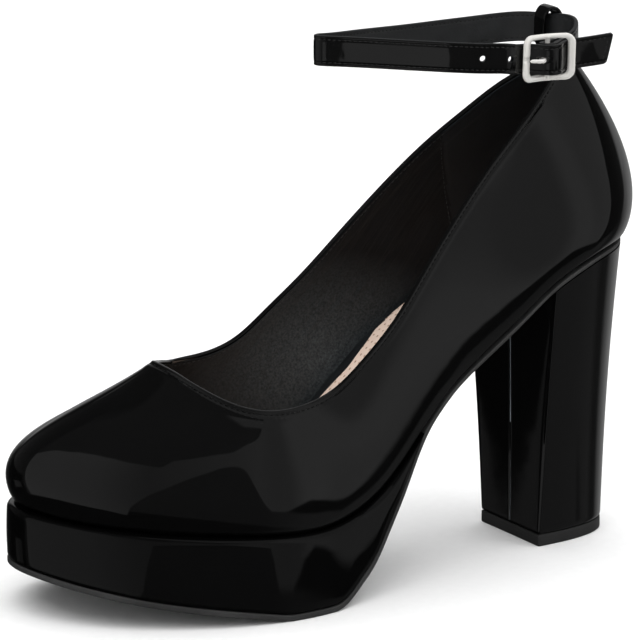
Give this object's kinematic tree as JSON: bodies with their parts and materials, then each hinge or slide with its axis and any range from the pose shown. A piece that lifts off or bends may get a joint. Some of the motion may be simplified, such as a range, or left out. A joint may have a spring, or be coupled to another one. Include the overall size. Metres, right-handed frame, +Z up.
{
  "type": "ankle strap pump",
  "caption": "Left platform pump in black patent with a rounded closed toe, a low-cut collar, a high block heel and a slim buckled ankle strap held by a loop at the back.",
  "frame": {"origin": "centre of the heel tread, on the floor", "axes": "+X from toe to heel, +Y to the inner side of the foot, +Z up from the floor"},
  "size_m": [0.2445, 0.0919, 0.1938],
  "materials": {
    "upper_patent": "black patent, lined with black leather",
    "insole_cover": "beige perforated sock, matt",
    "outsole_rubber": "dark grey moulded sheet, matt",
    "platform_cover": "black patent cover",
    "heel_cover": "black patent cover with a seam down the breast",
    "lift_rubber": "grey tread piece, matt",
    "strap_patent": "black patent, stitched along both edges",
    "buckle_metal": "pale gold plated, polished",
    "prong_metal": "pale gold plated, polished",
    "loop_patent": "black patent"
  },
  "bodies": {
    "root": {"upper": "upper_patent", "insole": "insole_cover", "outsole": "outsole_rubber", "platform": "platform_cover", "heel": "heel_cover", "top_lift": "lift_rubber", "ankle_strap": "strap_patent", "buckle_frame": "buckle_metal", "buckle_prong": "prong_metal", "back_loop": "loop_patent"}
  },
  "joints": []
}
